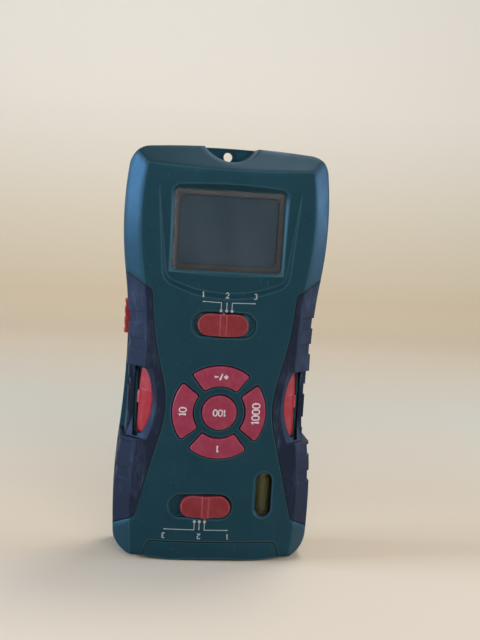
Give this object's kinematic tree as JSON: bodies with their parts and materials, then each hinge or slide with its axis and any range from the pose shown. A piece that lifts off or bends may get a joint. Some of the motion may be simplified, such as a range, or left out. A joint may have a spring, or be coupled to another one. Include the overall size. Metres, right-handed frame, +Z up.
{
  "type": "hand-held wall detector and distance meter",
  "caption": "Hand-held wall detector and distance meter with a display, sliding selectors, ring keypad, level vial and rubber grips.",
  "frame": {"origin": "middle of the base that the instrument stands on", "axes": "+Z up the height, -Y out of the front face, +X to the right as the front is seen"},
  "size_m": [0.0854, 0.034, 0.1737],
  "materials": {
    "housing_plastic": "dark teal moulded ABS, fine spark-eroded texture",
    "grip_rubber": "navy thermoplastic rubber, satin",
    "key_plastic": "red moulded plastic, satin",
    "window_plastic": "clear scratched acrylic",
    "lcd_glass": "unlit liquid-crystal panel",
    "white_plastic": "white moulded plastic",
    "switch_metal": "pressed tinned steel",
    "spring_steel": "drawn wire",
    "black_plastic": "black moulded plastic",
    "mat_rubber": "grey silicone",
    "vial_clear": "clear acrylic tube",
    "vial_green": "tinted spirit",
    "board_green": "glass-epoxy board",
    "copper": "enamelled copper wire",
    "brass": "turned brass",
    "transducer_metal": "drawn aluminium can",
    "screw_steel": "zinc-plated steel"
  },
  "bodies": {
    "housing": {"front_shell": "housing_plastic", "rear_shell": "housing_plastic", "end_cap": "housing_plastic", "left_grip": "grip_rubber", "right_grip": "grip_rubber", "display_window": "window_plastic", "lcd_panel": "lcd_glass", "lcd_holder": "white_plastic", "upper_switch": "switch_metal", "lower_switch": "switch_metal", "key_mat": "mat_rubber", "left_key_spring": "spring_steel", "right_key_spring": "spring_steel", "trigger_switch": "black_plastic", "vial_tube": "vial_clear", "vial_fluid": "vial_green", "vial_cradle": "black_plastic", "main_board": "board_green", "board_screws": "screw_steel", "buzzer": "black_plastic", "sensor_board": "board_green", "sensor_coil": "copper", "sound_horn": "black_plastic", "horn_grille": "black_plastic", "transducer": "transducer_metal", "laser_module": "brass", "laser_window": "window_plastic", "battery": "black_plastic", "battery_snap": "black_plastic", "shell_screws": "screw_steel"},
    "upper_selector": {"upper_selector": "key_plastic"},
    "lower_selector": {"lower_selector": "key_plastic"},
    "centre_key": {"centre_key": "key_plastic"},
    "top_key": {"top_key": "key_plastic"},
    "right_key": {"right_key": "key_plastic"},
    "bottom_key": {"bottom_key": "key_plastic"},
    "left_key": {"left_key": "key_plastic"},
    "left_squeeze_key": {"left_squeeze_key": "key_plastic"},
    "right_squeeze_key": {"right_squeeze_key": "key_plastic"},
    "side_trigger": {"side_trigger": "key_plastic"},
    "battery_door": {"battery_door": "housing_plastic"}
  },
  "joints": [
    {"name": "upper_selector_slide", "type": "slide", "parent": "housing", "child": "upper_selector", "axis": [1, 0, 0], "range_m": [-0.0016, 0.0028]},
    {"name": "lower_selector_slide", "type": "slide", "parent": "housing", "child": "lower_selector", "axis": [1, 0, 0], "range_m": [-0.0044, 0]},
    {"name": "centre_key_press", "type": "slide", "parent": "housing", "child": "centre_key", "axis": [0, 1, 0], "range_m": [0, 0.0007], "stiffness_N_per_m": 200, "springref_m": -0.001},
    {"name": "top_key_press", "type": "slide", "parent": "housing", "child": "top_key", "axis": [0, 1, 0], "range_m": [0, 0.0007], "stiffness_N_per_m": 200, "springref_m": -0.001},
    {"name": "right_key_press", "type": "slide", "parent": "housing", "child": "right_key", "axis": [0, 1, 0], "range_m": [0, 0.0007], "stiffness_N_per_m": 200, "springref_m": -0.001},
    {"name": "bottom_key_press", "type": "slide", "parent": "housing", "child": "bottom_key", "axis": [0, 1, 0], "range_m": [0, 0.0007], "stiffness_N_per_m": 200, "springref_m": -0.001},
    {"name": "left_key_press", "type": "slide", "parent": "housing", "child": "left_key", "axis": [0, 1, 0], "range_m": [0, 0.0007], "stiffness_N_per_m": 200, "springref_m": -0.001},
    {"name": "left_squeeze", "type": "slide", "parent": "housing", "child": "left_squeeze_key", "axis": [0.747, 0.6648, 0], "range_m": [0, 0.0012], "stiffness_N_per_m": 250, "springref_m": -0.001, "deforming": ["left_key_spring"]},
    {"name": "right_squeeze", "type": "slide", "parent": "housing", "child": "right_squeeze_key", "axis": [-0.747, 0.6648, 0], "range_m": [0, 0.0012], "stiffness_N_per_m": 250, "springref_m": -0.001, "deforming": ["right_key_spring"]},
    {"name": "trigger_press", "type": "slide", "parent": "housing", "child": "side_trigger", "axis": [1, 0, 0], "range_m": [0, 0.0013], "stiffness_N_per_m": 250, "springref_m": -0.001},
    {"name": "door_hinge", "type": "hinge", "parent": "housing", "child": "battery_door", "pos_m": [0, 0.017, 0.0317], "axis": [-1, 0, 0], "range_deg": [0, 60]}
  ]
}
